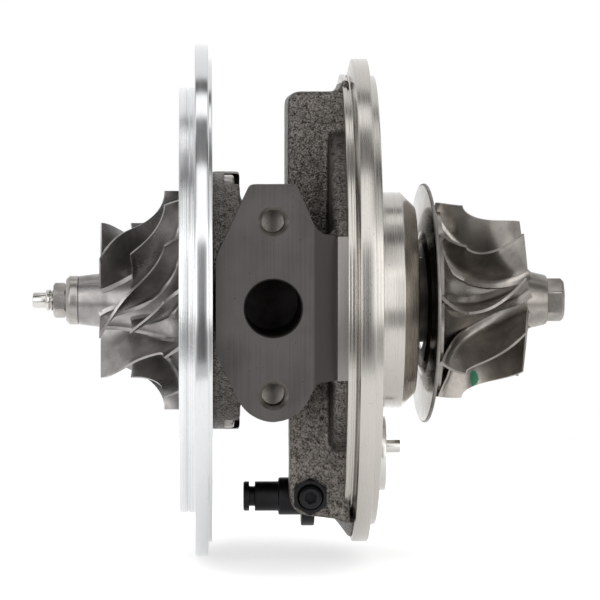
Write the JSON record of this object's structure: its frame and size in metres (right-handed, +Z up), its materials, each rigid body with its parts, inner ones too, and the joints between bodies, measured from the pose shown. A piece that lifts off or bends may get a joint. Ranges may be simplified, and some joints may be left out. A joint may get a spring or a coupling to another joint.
{
  "type": "turbocharger cartridge",
  "caption": "Turbocharger centre cartridge: compressor and turbine wheels on a common shaft in a cast bearing housing, with seal plate, clamp flange, oil drain flange and vane crank.",
  "frame": {"origin": "on the rotor axis, in the plane of the seal plate's shoulder that the compressor housing seats on", "axes": "+X along the rotor axis towards the turbine, +Z up, the oil drain flange faces -Y"},
  "size_m": [0.1207, 0.1162, 0.1162],
  "materials": {
    "housing_iron": "sand cast, machined faces",
    "plate_aluminium": "turned, bright",
    "wheel_aluminium": "cast, satin",
    "turbine_alloy": "cast nickel alloy, satin",
    "shield_sheet": "polished sheet",
    "plain_steel": "turned or ground",
    "black_steel": "black oxide",
    "bearing_brass": "machined bronze",
    "ring_iron": "ground",
    "seal_rubber": "matte"
  },
  "bodies": {
    "housing": {"bearing_housing": "housing_iron", "seal_plate": "plate_aluminium", "seal_plate_screws": "plain_steel", "seal_plate_o_ring": "seal_rubber", "thrust_bearing": "bearing_brass", "thrust_bearing_pins": "plain_steel", "oil_deflector": "plain_steel", "compressor_seal_ring": "ring_iron", "turbine_seal_ring": "ring_iron", "bearing_circlips": "plain_steel", "heat_shield": "shield_sheet", "crank_bushing": "bearing_brass", "stop_screw": "black_steel", "stop_screw_nut": "black_steel"},
    "rotor": {"rotor_shaft": "plain_steel", "turbine_wheel": "turbine_alloy", "thrust_collar": "plain_steel", "oil_slinger": "plain_steel", "compressor_wheel": "wheel_aluminium", "compressor_nut": "plain_steel"},
    "compressor_bush": {"journal_bearing_compressor": "bearing_brass"},
    "turbine_bush": {"journal_bearing_turbine": "bearing_brass"},
    "crank": {"vane_crank": "plain_steel", "vane_crank_pin": "plain_steel", "actuator_lever": "black_steel", "actuator_pin": "black_steel"}
  },
  "joints": [
    {"name": "rotor_spin", "type": "hinge", "parent": "housing", "child": "rotor", "pos_m": [0, 0, 0], "axis": [1, 0, 0], "continuous": true},
    {"name": "compressor_bush_spin", "type": "hinge", "parent": "housing", "child": "compressor_bush", "pos_m": [0.0164, 0, 0], "axis": [1, 0, 0], "continuous": true},
    {"name": "turbine_bush_spin", "type": "hinge", "parent": "housing", "child": "turbine_bush", "pos_m": [0.034, 0, 0], "axis": [1, 0, 0], "continuous": true},
    {"name": "crank_turn", "type": "hinge", "parent": "housing", "child": "crank", "pos_m": [0.0273, 0.003, -0.0352], "axis": [1, 0, 0], "range_deg": [0, 45]}
  ],
  "couplings": [
    {"joint": "compressor_bush_spin", "follows": "rotor_spin", "ratio": 0.3},
    {"joint": "turbine_bush_spin", "follows": "rotor_spin", "ratio": 0.3}
  ]
}
